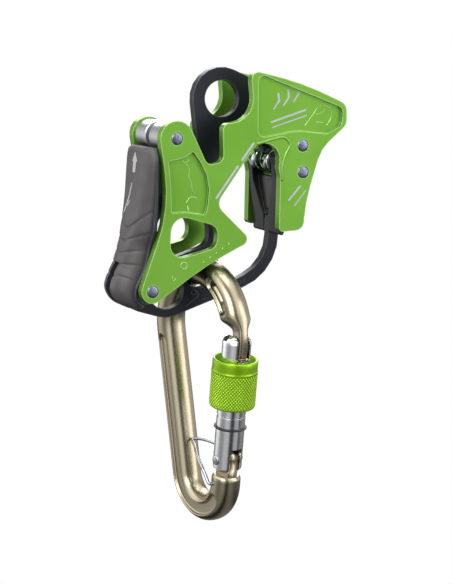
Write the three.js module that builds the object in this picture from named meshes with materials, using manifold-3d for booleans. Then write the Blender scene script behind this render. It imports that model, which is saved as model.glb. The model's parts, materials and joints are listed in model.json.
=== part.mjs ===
// Two-rope belay device with its pear-shaped screw-lock carabiner.
// Millimetres, +Z up. X runs from the release lever to the handle, Y across the plates (front is -Y).
// The shapes are laid out on the plate datum: X0 Z0 is the lever rivet and Y0 is the middle of the
// centre plate. The whole group is then shifted so that the origin is the load point of the anchor
// eye, on the front face of the centre plate.
import * as THREE from 'three';
import { mergeVertices } from 'three/addons/utils/BufferGeometryUtils.js';
import Module from 'manifold-3d';

const wasm = await Module();
wasm.setup();

// ---- driving dimensions ----
const centreThickness = 4;
const sideThickness = 4;
const ropeSlot = 12;
const sideInner = centreThickness / 2 + ropeSlot;
const sideOuter = sideInner + sideThickness;
const rivetRadius = 2.6;
const rivetFit = 0.05;
const rivetCrown = 0.5;

const leverPin = [0, 0];
const rollerAxle = [11.2, 63.2];
const handleRivets = { upper: [69.1, 58.6], lower: [69.3, 47.2] };
const anchorEye = { x: 38.4, z: 78.4, outer: 13.4, hole: 7.8 };
const ringHole = { x: 12.5, z: -2.8, outer: 11.6, hole: 7.9 };
const carabinerHole = { x: 27.6, z: 4.9, hole: 7.3 };
const gateHinge = [61, 51.5];
const gateHalfWidth = 13.5;
const armSlit = 2.4;

// pear-shaped carabiner: two arcs of the bar's centre line joined by straight legs
const bar = 6;
const bowRadius = 24.9;
const basketRadius = 14.9;
const arcDistance = 63.8;
const legLean = Math.asin((bowRadius - basketRadius) / arcDistance);
const legLength = arcDistance * Math.cos(legLean);
const bowCentre = [28.5, -4.4, -19.6];
const carabinerYaw = THREE.MathUtils.degToRad(-78.5);
const carabinerHang = THREE.MathUtils.degToRad(-1.65);
const barrelRadius = 6.2;
const barrelTop = -4.3;
const pivotStation = 51;
const pivotRadius = 1.5;
const footDrop = 5.2;
const shoulderDrop = 7.3;
const sleeve = { top: 6.2, bottom: 27.4, outer: 9.9 };
const tongueEnd = sleeve.top - 0.9;
const stopRing = { top: 36, bottom: 37, outer: 7.1 };
const gateSpringEnds = { top: 22, bottom: 38 };
const wireHole = { x: 12.9, z: -65.4 };

// ---- materials ----
function paint(color, roughness, metalness) {
  return new THREE.MeshStandardMaterial({ color, roughness, metalness });
}

const materials = {
  green: paint(0x62ad35, 0.38, 0.9),
  dark: paint(0x2b2d35, 0.42, 0.85),
  steel: paint(0xb9bbbd, 0.3, 1),
  rivet: paint(0x5a6070, 0.35, 1),
  chrome: paint(0xdfe3e6, 0.08, 1),
  grip: paint(0x4d4a4a, 0.75, 0),
  core: paint(0x25262b, 0.6, 0),
  gate: paint(0x2a2a2c, 0.55, 0),
  bronze: paint(0xb3a88c, 0.3, 0.95),
  lime: paint(0x8fd014, 0.35, 0.85),
};

// ---- helpers ----
// One closed skin: shared corners merged, collapsed triangles dropped, faces pointing out.
function closed(geometry) {
  const plain = geometry.clone();
  plain.deleteAttribute('normal');
  plain.deleteAttribute('uv');
  const merged = mergeVertices(plain, 1e-4);
  const { array } = merged.attributes.position;
  const corner = (i) => new THREE.Vector3().fromArray(array, 3 * i);
  const kept = [];
  let volume = 0;
  for (let t = 0; t < merged.index.count; t += 3) {
    const [a, b, c] = [0, 1, 2].map((k) => merged.index.getX(t + k));
    if (a !== b && b !== c && c !== a) {
      kept.push([a, b, c]);
      volume += corner(a).dot(corner(b).cross(corner(c)));
    }
  }
  const facing = volume < 0 ? kept.map(([a, b, c]) => [a, c, b]) : kept;
  merged.setIndex(facing.flat());
  merged.computeVertexNormals();
  return merged;
}

function solid(geometry) {
  const skin = closed(geometry);
  return new wasm.Manifold(new wasm.Mesh({
    numProp: 3,
    vertProperties: new Float32Array(skin.attributes.position.array),
    triVerts: new Uint32Array(skin.index.array),
  }));
}

function geometryOf(manifold) {
  const mesh = manifold.getMesh();
  const geometry = new THREE.BufferGeometry();
  geometry.setAttribute('position', new THREE.BufferAttribute(mesh.vertProperties, 3));
  geometry.setIndex(new THREE.BufferAttribute(mesh.triVerts, 1));
  geometry.computeVertexNormals();
  return geometry;
}

function cut(body, ...tools) {
  return geometryOf(tools.reduce((left, tool) => left.subtract(solid(tool)), solid(body)));
}

function join(...pieces) {
  return geometryOf(pieces.map(solid).reduce((whole, piece) => whole.add(piece)));
}

function named(name, geometry, material) {
  const mesh = new THREE.Mesh(closed(geometry), material);
  mesh.name = name;
  return mesh;
}

// A closed outline that runs clockwise around circles, as a belt does: each stop is [x, z, radius].
// A positive radius is an outside corner and a negative one is an inside corner.
function belt(stops, stepAngle = Math.PI / 10) {
  const headings = stops.map(([x, z, radius], i) => {
    const [nextX, nextZ, nextRadius] = stops[(i + 1) % stops.length];
    const span = Math.hypot(nextX - x, nextZ - z);
    return Math.atan2(nextZ - z, nextX - x) - Math.asin((radius - nextRadius) / span);
  });
  const points = [];
  stops.forEach(([x, z, radius], i) => {
    const arrive = headings.at(i - 1);
    let turn = (headings[i] - arrive) % (2 * Math.PI);
    if (radius > 0 && turn > 0) turn -= 2 * Math.PI;
    if (radius < 0 && turn < 0) turn += 2 * Math.PI;
    const steps = Math.max(1, Math.ceil(Math.abs(turn) / stepAngle), Math.ceil(Math.abs(turn * radius) / 9));
    for (let k = 0; k <= steps; k += 1) {
      const heading = arrive + (turn * k) / steps;
      points.push(new THREE.Vector2(x - radius * Math.sin(heading), z + radius * Math.cos(heading)));
    }
  });
  return points;
}

function circle(x, z, radius, segments = 20) {
  const path = [];
  for (let k = 0; k < segments; k += 1) {
    const angle = (2 * Math.PI * k) / segments;
    path.push(new THREE.Vector2(x + radius * Math.cos(angle), z + radius * Math.sin(angle)));
  }
  return path;
}

// A flat outline in X and Z, made thick along Y from yFront to yBack.
function slab(outline, yFront, yBack) {
  const shape = new THREE.Shape(outline);
  const geometry = new THREE.ExtrudeGeometry(shape, { depth: yBack - yFront, bevelEnabled: false });
  geometry.rotateX(Math.PI / 2);
  geometry.translate(0, yBack, 0);
  return geometry;
}

// A turned piece around a line along Y through [x, z]. The profile is [radius, y] and closes on itself
// or ends on the axis.
function turned([x, z], profile, segments = 20) {
  const geometry = new THREE.LatheGeometry(profile.map(([r, y]) => new THREE.Vector2(r, y)), segments);
  geometry.translate(x, 0, z);
  return geometry;
}

function pin(centre, radius, yFront, yBack, segments = 20) {
  return turned(centre, [[0, yFront], [radius, yFront], [radius, yBack], [0, yBack]], segments);
}

function tube(centre, outer, inner, yFront, yBack, segments = 20) {
  const profile = [[inner, yFront], [outer, yFront], [outer, yBack], [inner, yBack], [inner, yFront]];
  return turned(centre, profile, segments);
}

// The helix of a coil spring around an axis along Y (axis 'y') or Z (axis 'z').
class Helix extends THREE.Curve {
  constructor(radius, start, end, turns, axis) {
    super();
    Object.assign(this, { radius, start, end, turns, axis });
  }

  getPoint(t, target = new THREE.Vector3()) {
    const angle = 2 * Math.PI * this.turns * t;
    const along = this.start + (this.end - this.start) * t;
    const a = this.radius * Math.cos(angle);
    const b = this.radius * Math.sin(angle);
    return this.axis === 'y' ? target.set(a, along, b) : target.set(a, b, along);
  }
}

function wire(path, radius, steps, sides = 6) {
  const section = new THREE.Shape(circle(0, 0, radius, sides));
  return new THREE.ExtrudeGeometry(section, { steps, extrudePath: path, bevelEnabled: false });
}

// ---- side plates ----
const sideOutline = belt([
  [...leverPin, 5],
  [-53.8, 41.6, -60],
  [...rollerAxle, 7.4],
  [26.9, 55.6, -3.5],
  [28.9, 55.7, -3.2],
  [34.9, 66, 3],
  [35.9, 79, -9.9],
  [48, 87, 3],
  [20.2, -57.2, 149.8],
  [85.7, 72.8, 4.3],
  [85.6, 69, 4.5],
  [91.6, 47.4, -16],
  [129.8, 22.5, -60],
  [65.9, 26.3, 4],
  [59.8, 23.9, 1.8],
  [54.5, 45, -4],
  [58.5, 49.6, 0.8],
  [51, 53, -7.1],
  [34.7, 35.6, -4.5],
  [40.2, 20, 2.8],
  [82.2, -95.8, -120],
]);

const sideWindow = belt([
  [14.2, 24.4, 5.9],
  [24.6, 22.4, 4.8],
  [24.6, 20.8, 4.8],
  [13.6, 19.2, 5.6],
]);

const handlePocket = belt([
  [50.6, 86, 2.3],
  [20.2, -57.2, 146.9],
  [84.8, 71.9, 3.2],
  [84.6, 68.8, 3.2],
  [80.3, 65.4, 2.1],
  [66.5, 44.6, -20.2],
  [51.2, 65.8, 3.1],
]);

const limbPocket = belt([
  [-53.8, 41.6, -62.2],
  [8.2, 53.4, 0.8],
  [11.2, 63.2, -8.4],
  [18.2, 56.6, 0.8],
  [3.2, 40.5, 22.4],
  [22.9, 32.6, 1.4],
  [14.2, 24.4, -8.2],
  [9.4, 33.2, 0.7],
]);

function sidePlate(side) {
  const pocketDepth = 1.6;
  const outside = side * sideOuter;
  const inside = side * sideInner;
  const [front, back] = [Math.min(outside, inside), Math.max(outside, inside)];
  const blank = slab(sideOutline, front, back);
  const floor = outside - side * pocketDepth;
  const pocketFront = Math.min(floor, outside + side);
  const pocketBack = Math.max(floor, outside + side);
  const bore = rivetRadius + rivetFit;
  const through = [leverPin, rollerAxle, handleRivets.upper, handleRivets.lower];
  const blindDepth = 1.8;
  const blindFront = Math.min(inside - side, inside + side * blindDepth);
  const blindBack = Math.max(inside - side, inside + side * blindDepth);
  return cut(
    blank,
    slab(sideWindow, front - 1, back + 1),
    slab(handlePocket, pocketFront, pocketBack),
    slab(limbPocket, pocketFront, pocketBack),
    ...through.map((centre) => pin(centre, bore, front - 1, back + 1)),
    pin(gateHinge, 1.55, blindFront, blindBack),
  );
}

// ---- centre plate: anchor eye, carabiner openings and the J-shaped arm in one piece ----
const centreOutline = belt([
  [2, -3, 8.2],
  [0, 1, 6.2],
  [-53.8, 41.6, -61.5],
  [...rollerAxle, 7],
  [23.4, 60.3, -3.6],
  [anchorEye.x, anchorEye.z, anchorEye.outer],
  [78, 68, 6],
  [...handleRivets.lower, 5],
  [...gateHinge, 3.6],
  [53.5, 55, -4.6],
  [34.7, 35.6, -6],
  [38.6, 19, 2.6],
  [37, 12.4, -1.2],
  [43.3, 5.8, -5.8],
  [41.4, 19.4, -19],
  [62.9, 26, 2.4],
  [41.4, 19.4, 24],
  [ringHole.x, ringHole.z, ringHole.outer],
]);

const centreWindow = belt([
  [14.6, 24.6, 6.2],
  [25.5, 23.5, 6.4],
  [26.4, 20.5, 5.6],
  [15.5, 18.5, 6.9],
]);

function centrePlate() {
  const half = centreThickness / 2;
  const bore = rivetRadius + rivetFit;
  const holes = [
    centreWindow,
    circle(anchorEye.x, anchorEye.z, anchorEye.hole, 36),
    circle(ringHole.x, ringHole.z, ringHole.hole, 36),
    circle(carabinerHole.x, carabinerHole.z, carabinerHole.hole, 36),
  ];
  const through = [leverPin, rollerAxle, handleRivets.upper, handleRivets.lower];
  return cut(
    slab(centreOutline, -half, half),
    ...holes.map((hole) => slab(hole, -half - 1, half + 1)),
    ...through.map((centre) => pin(centre, bore, -half - 1, half + 1)),
    pin(gateHinge, 1.6, -half - 1, half + 1),
  );
}

// ---- rivets, rollers and spacers ----
function rivet(centre) {
  const end = sideOuter + rivetCrown;
  const edge = rivetRadius * 0.7;
  return turned(centre, [
    [0, -end], [edge, -end + 0.12], [rivetRadius, -sideOuter],
    [rivetRadius, sideOuter], [edge, end - 0.12], [0, end],
  ]);
}

function spacer(centre, outer, side) {
  const near = side * (centreThickness / 2 + 0.1);
  const far = side * (sideInner - 0.1);
  return tube(centre, outer, rivetRadius + 0.1, Math.min(near, far), Math.max(near, far), 28);
}

// ---- release lever ----
const leverHalfWidth = 16;
const leverFootHalf = sideInner - 0.5;
const leverTopRound = 7;
const leverTopInset = 5;
const leverSlot = 2.6;

// the outer edge of the lever, from its top down and round the rivet
const leverEdge = new THREE.CatmullRomCurve3([
  [2.4, 59.2], [1.7, 47], [1.3, 36], [0.1, 22.5], [-3.2, 8.6], [-6.7, 1], [-6.9, -4.2], [-3.6, -8.2],
].map(([x, z]) => new THREE.Vector3(x, 0, z)));

// A closed skin over rings of points, each ring the same length.
function loft(rings) {
  const size = rings[0].length;
  const positions = rings.flat().flatMap((p) => [p.x, p.y, p.z]);
  const index = [];
  for (let r = 0; r < rings.length - 1; r += 1) {
    for (let k = 0; k < size; k += 1) {
      const a = r * size + k;
      const b = r * size + ((k + 1) % size);
      index.push(a, b, a + size, b, b + size, a + size);
    }
  }
  const last = (rings.length - 1) * size;
  for (let k = 1; k < size - 1; k += 1) {
    index.push(0, k + 1, k);
    index.push(last, last + k, last + k + 1);
  }
  const geometry = new THREE.BufferGeometry();
  geometry.setAttribute('position', new THREE.Float32BufferAttribute(positions, 3));
  geometry.setIndex(index);
  return geometry;
}

// The lever bulges more towards its foot and draws in again at its end.
function leverCrown(z) {
  const growing = 2.6 + 3.9 * THREE.MathUtils.smoothstep(56 - z, 0, 48);
  return growing * (1 - 0.75 * THREE.MathUtils.smoothstep(-z, 0, 8.2));
}

// One ring of the lever's shell: crowned outside, flat inside, across the width.
function leverRing(t, outerDepth, innerDepth, trim) {
  const point = leverEdge.getPointAt(t);
  const tangent = leverEdge.getTangentAt(t);
  const outward = new THREE.Vector3(tangent.z, 0, -tangent.x);
  const length = leverEdge.getLength();
  const fromTop = Math.min(1, (t * length + 0.6) / leverTopRound);
  const rounding = leverTopInset * (1 - Math.sqrt(1 - (1 - fromTop) ** 2));
  const taper = (leverHalfWidth - leverFootHalf) * THREE.MathUtils.smoothstep(26 - point.z, 0, 9);
  const half = leverHalfWidth - trim - rounding - taper;
  const steps = 6;
  const ring = [];
  for (let k = 0; k <= steps; k += 1) {
    const across = -1 + (2 * k) / steps;
    const crown = outerDepth < 0 ? outerDepth : leverCrown(point.z) * (1 - across ** 4);
    ring.push(point.clone().addScaledVector(outward, crown).setY(across * half));
  }
  for (let k = steps; k >= 0; k -= 1) {
    const across = -1 + (2 * k) / steps;
    ring.push(point.clone().addScaledVector(outward, -innerDepth).setY(across * half));
  }
  return ring;
}

function leverShell(outerDepth, innerDepth, trim, from = 0, to = 1) {
  const stations = 14;
  const rings = [];
  for (let k = 0; k <= stations; k += 1) {
    rings.push(leverRing(from + ((to - from) * k) / stations, outerDepth, innerDepth, trim));
  }
  return loft(rings);
}

function box(x0, x1, y0, y1, z0, z1) {
  const geometry = new THREE.BoxGeometry(x1 - x0, y1 - y0, z1 - z0);
  geometry.translate((x0 + x1) / 2, (y0 + y1) / 2, (z0 + z1) / 2);
  return geometry;
}

const leverSlotCut = (top) => box(-20, 20, -leverSlot, leverSlot, -20, top);

function leverGrip() {
  return cut(leverShell(0, 2, 0), leverSlotCut(11));
}

function leverCore() {
  const web = belt([
    [...leverPin, 6],
    [-1.6, -0.6, 4.6],
    [3.2, 14, 1],
    [4.6, 16, 0.8],
    [5, 13, 0.8],
  ]);
  const pocket = { radius: 5.1, from: 3.4, to: 10.4 };
  const webBelowGrip = cut(slab(web, -leverFootHalf, leverFootHalf), leverShell(0, 2.3, -3));
  return cut(
    join(leverShell(-2.3, 3.2, 2.2, 0.045), webBelowGrip),
    leverSlotCut(19),
    pin(leverPin, rivetRadius + 0.15, -20, 20),
    pin(leverPin, pocket.radius, leverSlot - 1, pocket.to),
  );
}

function leverSpring() {
  return wire(new Helix(4.1, 3.6, 9.6, 4, 'y'), 0.55, 40, 5);
}

// ---- retaining gate of the J-shaped arm ----
// A hanging tongue, thick at the hinge and thin at its end. A V-shaped recess in its inner face leaves
// two fins, the bushes turn in an opening above it, and the arm enters a slit in its end.
function gateBody() {
  const outline = belt([[...gateHinge, 3.4], [61.5, 21, 1.1]]);
  const bushSpan = 9.6;
  const recess = { top: 46, shoulder: 42, tip: 27, floor: 61.4, reach: 20 };
  const outlineOfV = new THREE.Shape([
    new THREE.Vector2(-bushSpan, recess.top), new THREE.Vector2(bushSpan, recess.top),
    new THREE.Vector2(bushSpan, recess.shoulder), new THREE.Vector2(armSlit, recess.tip),
    new THREE.Vector2(-armSlit, recess.tip), new THREE.Vector2(-bushSpan, recess.shoulder),
  ]);
  const recessCut = new THREE.ExtrudeGeometry(outlineOfV, { depth: recess.reach, bevelEnabled: false });
  recessCut.applyMatrix4(new THREE.Matrix4().makeBasis(
    new THREE.Vector3(0, 1, 0), new THREE.Vector3(0, 0, 1), new THREE.Vector3(1, 0, 0),
  ));
  recessCut.translate(recess.floor - recess.reach, 0, 0);
  const bushRoom = box(50, 70, -bushSpan, bushSpan, 44.4, 60);
  const slit = box(50, 70, -armSlit, armSlit, 10, 30);
  return cut(
    slab(outline, -gateHalfWidth, gateHalfWidth),
    recessCut,
    bushRoom,
    slit,
    pin(gateHinge, 1.65, -20, 20),
  );
}

function gateBush(side) {
  const profile = [[1.6, 2.4], [5, 2.4], [4.2, 4], [4.2, 6.6], [5, 9.2], [1.6, 9.2], [1.6, 2.4]];
  return turned(gateHinge, profile.map(([r, y]) => [r, side * y]), 24);
}

// ---- carabiner, in its own frame: X from spine to gate, Z up, origin in the bow's centre ----
class Bend extends THREE.Curve {
  constructor(z, radius, start, sweep) {
    super();
    Object.assign(this, { z, radius, start, sweep });
  }

  getPoint(t, target = new THREE.Vector3()) {
    const angle = this.start + this.sweep * t;
    return target.set(this.radius * Math.cos(angle), 0, this.z + this.radius * Math.sin(angle));
  }
}

const gateDown = new THREE.Vector3(-Math.sin(legLean), 0, -Math.cos(legLean));
const gateOut = new THREE.Vector3(Math.cos(legLean), 0, -Math.sin(legLean));
const gateStart = gateOut.clone().multiplyScalar(bowRadius);

// A point on the gate side: how far down the straight leg, and how far outward from it.
function onGate(station, offset = 0, y = 0) {
  return gateStart.clone().addScaledVector(gateDown, station).addScaledVector(gateOut, offset).setY(y);
}

// Moves a shape built around the Z axis, top at Z0, onto the gate leg.
function alongGate(geometry) {
  geometry.rotateY(legLean);
  geometry.translate(gateStart.x, 0, gateStart.z);
  return geometry;
}

function gateTurned(profile, segments = 20) {
  const geometry = new THREE.LatheGeometry(profile.map(([r, s]) => new THREE.Vector2(r, -s)), segments);
  geometry.rotateX(Math.PI / 2);
  return alongGate(geometry);
}

// A flat piece on the gate leg: outline points are [offset, station], thickness centred on the leg.
function gateSlab(outline, thickness) {
  const shape = outline.map(([offset, station]) => {
    const place = onGate(station, offset);
    return new THREE.Vector2(place.x, place.z);
  });
  return slab(shape, -thickness / 2, thickness / 2);
}

function roundedEnd(radius, station, upTo) {
  const points = [[radius, upTo]];
  for (let k = 0; k <= 8; k += 1) {
    const angle = (Math.PI * k) / 8;
    points.push([radius * Math.cos(angle), station + (upTo > station ? -1 : 1) * radius * Math.sin(angle)]);
  }
  points.push([-radius, upTo]);
  return points;
}

// The bore for the pivot rivet, right across the gate leg.
function acrossGate(radius) {
  const place = onGate(pivotStation);
  return pin([place.x, place.z], radius, -9, 9);
}

function carabinerFrame() {
  const shoulder = pivotStation + shoulderDrop;
  const path = new THREE.CurvePath();
  const basketGate = onGate(legLength);
  const spineLow = new THREE.Vector3(-basketGate.x, 0, basketGate.z);
  const spineHigh = new THREE.Vector3(-gateStart.x, 0, gateStart.z);
  path.add(new THREE.LineCurve3(onGate(shoulder), basketGate));
  path.add(new Bend(-arcDistance, basketRadius, -legLean, -(Math.PI - 2 * legLean)));
  path.add(new THREE.LineCurve3(spineLow, spineHigh));
  path.add(new Bend(0, bowRadius, Math.PI + legLean, -(Math.PI + 2 * legLean)));
  const rod = wire(path, bar, 48, 14);
  const noseCut = barrelTop - 0.8;
  const noseTool = gateSlab([[-40, noseCut], [9, noseCut], [9, 12], [-40, 12]], 20);
  const noseTongue = gateSlab([
    [-4.6, noseCut - 3], [4.6, noseCut - 3], [6, noseCut], [6, tongueEnd], [-2, tongueEnd],
  ], 3.8);
  const pivotTongue = gateSlab(roundedEnd(4.3, pivotStation, shoulder + 3), 5);
  const wireBore = pin([wireHole.x, wireHole.z], 0.85, -12, 12, 12);
  const web = slab(circle(wireHole.x, wireHole.z, 3, 12), -3.4, 3.4);
  const blank = solid(rod).subtract(solid(noseTool)).add(solid(noseTongue)).add(solid(pivotTongue));
  const bored = blank.subtract(solid(acrossGate(pivotRadius + 0.05)));
  return geometryOf(bored.subtract(solid(wireBore)).add(solid(web)));
}

function carabinerGate() {
  const dome = [
    [0, barrelTop], [3.4, barrelTop + 0.25], [5.3, barrelTop + 1.4], [barrelRadius, barrelTop + 3.6],
  ];
  const foot = pivotStation + footDrop;
  const slotTop = pivotStation - 5.7;
  const springRoom = gateSpringEnds.top - 1;
  const barrel = gateTurned([...dome, [barrelRadius, foot - 2], [4.4, foot], [0, foot]].reverse());
  const topSlot = gateSlab([[-9, -12], [9, -12], [9, tongueEnd + 1.7], [-9, tongueEnd + 1.7]], 4.8);
  const footSlot = gateSlab([[-9, slotTop], [9, slotTop], [9, foot + 3], [-9, foot + 3]], 5.8);
  const springBore = gateTurned([[0, slotTop + 2], [2.7, slotTop + 2], [2.7, springRoom], [0, springRoom]]);
  return cut(barrel, topSlot, footSlot, springBore, acrossGate(pivotRadius + 0.15));
}

function carabinerPivot() {
  const place = onGate(pivotStation);
  const seat = barrelRadius + 0.05;
  return turned([place.x, place.z], [
    [0, -seat - 0.6], [1.6, -seat - 0.5], [2.1, -seat], [pivotRadius, -seat],
    [pivotRadius, seat], [2.1, seat], [1.6, seat + 0.5], [0, seat + 0.6],
  ]);
}

function gatePlunger() {
  const tip = pivotStation - 5.1;
  const base = gateSpringEnds.bottom + 0.9;
  return gateTurned([[0, tip], [2.4, tip - 0.9], [2.4, base], [0, base]]);
}

function gateSpring() {
  return alongGate(wire(new Helix(1.9, -gateSpringEnds.bottom, -gateSpringEnds.top, 7, 'z'), 0.4, 56, 5));
}

function screwSleeve() {
  const { top, bottom, outer } = sleeve;
  const bore = barrelRadius + 0.3;
  return gateTurned([
    [bore, bottom], [outer - 1.4, bottom], [outer, bottom - 1.4], [outer, top + 1],
    [outer - 0.8, top], [bore, top], [bore, bottom],
  ], 28);
}

function sleeveStopRing() {
  const { top, bottom, outer } = stopRing;
  const bore = barrelRadius + 0.06;
  return gateTurned([[bore, bottom], [outer, bottom], [outer, top], [bore, top], [bore, bottom]]);
}

function keeperWire() {
  const { x, z } = wireHole;
  const points = [
    [0, -4.2, 0], [0, -6.4, 0], [-0.8, -7.1, 0.6], [-2.4, -7.2, 2.9], [-5.4, -7.2, 6.7],
    [-11.1, -5.6, 10.3], [-17.6, -2.4, 13.1], [-22.8, 0, 14.7], [-17.6, 2.4, 15.1], [-11.1, 5.6, 13.1],
    [-5.4, 7.2, 8.5], [-2.4, 7.2, 3.9], [-0.8, 7.1, 0.6], [0, 6.4, 0], [0, 4.2, 0],
  ].map(([inward, side, up]) => new THREE.Vector3(x + inward, side, z + up));
  return wire(new THREE.CatmullRomCurve3(points, false, 'centripetal'), 0.65, 64, 6);
}

// ---- assembly ----
const device = new THREE.Group();
device.add(
  named('front_side_plate', sidePlate(-1), materials.green),
  named('rear_side_plate', sidePlate(1), materials.green),
  named('centre_plate', centrePlate(), materials.dark),
  named('front_rope_roller', spacer(rollerAxle, 6.5, -1), materials.steel),
  named('rear_rope_roller', spacer(rollerAxle, 6.5, 1), materials.steel),
  named('roller_axle_rivet', rivet(rollerAxle), materials.rivet),
  named('lever_pivot_rivet', rivet(leverPin), materials.rivet),
  named('handle_rivet_upper', rivet(handleRivets.upper), materials.rivet),
  named('handle_rivet_lower', rivet(handleRivets.lower), materials.rivet),
  named('upper_spacer_front', spacer(handleRivets.upper, 4, -1), materials.steel),
  named('upper_spacer_rear', spacer(handleRivets.upper, 4, 1), materials.steel),
  named('lower_spacer_front', spacer(handleRivets.lower, 3.8, -1), materials.steel),
  named('lower_spacer_rear', spacer(handleRivets.lower, 3.8, 1), materials.steel),
  named('release_lever_core', leverCore(), materials.core),
  named('release_lever_grip', leverGrip(), materials.grip),
  named('lever_return_spring', leverSpring(), materials.steel),
  named('retaining_gate', gateBody(), materials.gate),
  named('gate_hinge_pin', pin(gateHinge, 1.5, -sideInner - 1.6, sideInner + 1.6), materials.steel),
  named('gate_bush_front', gateBush(-1), materials.chrome),
  named('gate_bush_rear', gateBush(1), materials.chrome),
);

const carabiner = new THREE.Group();
carabiner.position.set(...bowCentre);
carabiner.rotation.set(0, carabinerHang, carabinerYaw, 'ZYX');
carabiner.add(
  named('carabiner_frame', carabinerFrame(), materials.bronze),
  named('carabiner_gate', carabinerGate(), materials.chrome),
  named('carabiner_gate_pivot', carabinerPivot(), materials.steel),
  named('gate_plunger', gatePlunger(), materials.steel),
  named('gate_spring', gateSpring(), materials.steel),
  named('screw_sleeve', screwSleeve(), materials.lime),
  named('sleeve_stop_ring', sleeveStopRing(), materials.dark),
  named('keeper_wire', keeperWire(), materials.steel),
);
device.add(carabiner);

// the origin is on the front face of the centre plate, in the middle of the eye's rim, above the hole
const rimMiddle = (anchorEye.outer + anchorEye.hole) / 2;
device.position.set(-anchorEye.x, centreThickness / 2, -(anchorEye.z + rimMiddle));

const group = new THREE.Group();
group.add(device);

export default group;
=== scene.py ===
"""Looks of the belay device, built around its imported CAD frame. Shapes are in millimetres on the plate
datum (lever rivet at X0 Z0, middle of the centre plate at Y0) or on the carabiner's own axes, and are
scaled to metres when a piece is made."""
import json
import math

import bmesh
import bpy
from mathutils import Matrix, Vector

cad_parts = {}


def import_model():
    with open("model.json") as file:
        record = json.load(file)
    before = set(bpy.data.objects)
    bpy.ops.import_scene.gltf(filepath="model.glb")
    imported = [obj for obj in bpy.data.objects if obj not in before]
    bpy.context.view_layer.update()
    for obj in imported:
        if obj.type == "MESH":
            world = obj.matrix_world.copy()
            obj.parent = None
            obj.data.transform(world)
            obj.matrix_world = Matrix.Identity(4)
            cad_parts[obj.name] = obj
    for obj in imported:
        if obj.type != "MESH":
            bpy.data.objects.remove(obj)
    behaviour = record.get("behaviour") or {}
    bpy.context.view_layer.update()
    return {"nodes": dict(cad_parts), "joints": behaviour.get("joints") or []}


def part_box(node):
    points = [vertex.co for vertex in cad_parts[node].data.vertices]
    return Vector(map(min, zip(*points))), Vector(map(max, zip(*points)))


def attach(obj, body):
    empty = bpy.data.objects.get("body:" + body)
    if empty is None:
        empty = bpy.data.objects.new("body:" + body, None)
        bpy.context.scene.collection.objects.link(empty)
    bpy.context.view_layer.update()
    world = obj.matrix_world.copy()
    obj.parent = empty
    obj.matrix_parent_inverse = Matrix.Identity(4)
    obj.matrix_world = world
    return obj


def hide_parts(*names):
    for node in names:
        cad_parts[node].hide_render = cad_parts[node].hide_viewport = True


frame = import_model()
nodes = frame["nodes"]
joints = {joint["name"]: joint for joint in frame["joints"]}

MM = 0.001
UP = Vector((0, 0, 1))

# ---- driving sizes, mm ----
CENTRE_HALF = 2.0
SIDE_INNER = 14.0
SIDE_OUTER = 18.0
POCKET_FLOOR = 16.4
RIVET_RADIUS = 2.55
RIVET_CROWN = 0.5
ROLLER_RADIUS = 6.5
BAR = 6.0
BOW_RADIUS = 24.9
BASKET_RADIUS = 14.9
ARC_DISTANCE = 63.8
PIVOT_STATION = 51.0
SHOULDER_STATION = 58.3
FOOT_STATION = 56.2
BARREL_TOP = 4.3
BARREL_RADIUS = 6.2
SLEEVE_TOP, SLEEVE_BOTTOM, SLEEVE_OUTER = 6.2, 27.4, 9.9
VISIBLE_TONGUE_END = SLEEVE_TOP - 0.3
WIRE_HOLE_X, WIRE_HOLE_Z = 12.9, -65.4

LEAN = math.asin((BOW_RADIUS - BASKET_RADIUS) / ARC_DISTANCE)
LEG_LENGTH = ARC_DISTANCE * math.cos(LEAN)


def box_centre(node):
    low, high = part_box(node)
    return (low + high) / 2


# ---- frames: plate datum, carabiner plane and gate leg ----
datum = Matrix.Translation(Vector(joints["lever_swing"]["pos_m"])) @ Matrix.Scale(MM, 4)
across = Vector(joints["keeper_wire_swing"]["axis"]).normalized()
down = Vector(joints["sleeve_travel"]["axis"]).normalized()
gate_start = Vector((BOW_RADIUS * math.cos(LEAN), 0, -BOW_RADIUS * math.sin(LEAN)))
gate_down = Vector((-math.sin(LEAN), 0, -math.cos(LEAN)))
gate_out = Vector((math.cos(LEAN), 0, -math.sin(LEAN)))
leg_axes = Matrix((gate_out, Vector((0, 1, 0)), -gate_down)).transposed()
world_axes = Matrix((across.cross(-down), across, -down)).transposed()
turn = world_axes @ leg_axes.inverted()
pivot_world = Vector(joints["carabiner_gate_open"]["pos_m"])
bow_centre = pivot_world - turn @ (gate_start + gate_down * PIVOT_STATION) * MM
ring_frame = Matrix.Translation(bow_centre) @ turn.to_4x4() @ Matrix.Scale(MM, 4)
leg_frame = ring_frame @ Matrix.Translation(gate_start) @ leg_axes.to_4x4()


def datum_point(node):
    """The middle of a node's box in X and Z, on the plate datum."""
    point = datum.inverted() @ box_centre(node)
    return point.x, point.z


def smoothstep(low, high, value):
    t = min(1.0, max(0.0, (value - low) / (high - low)))
    return t * t * (3 - 2 * t)


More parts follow.
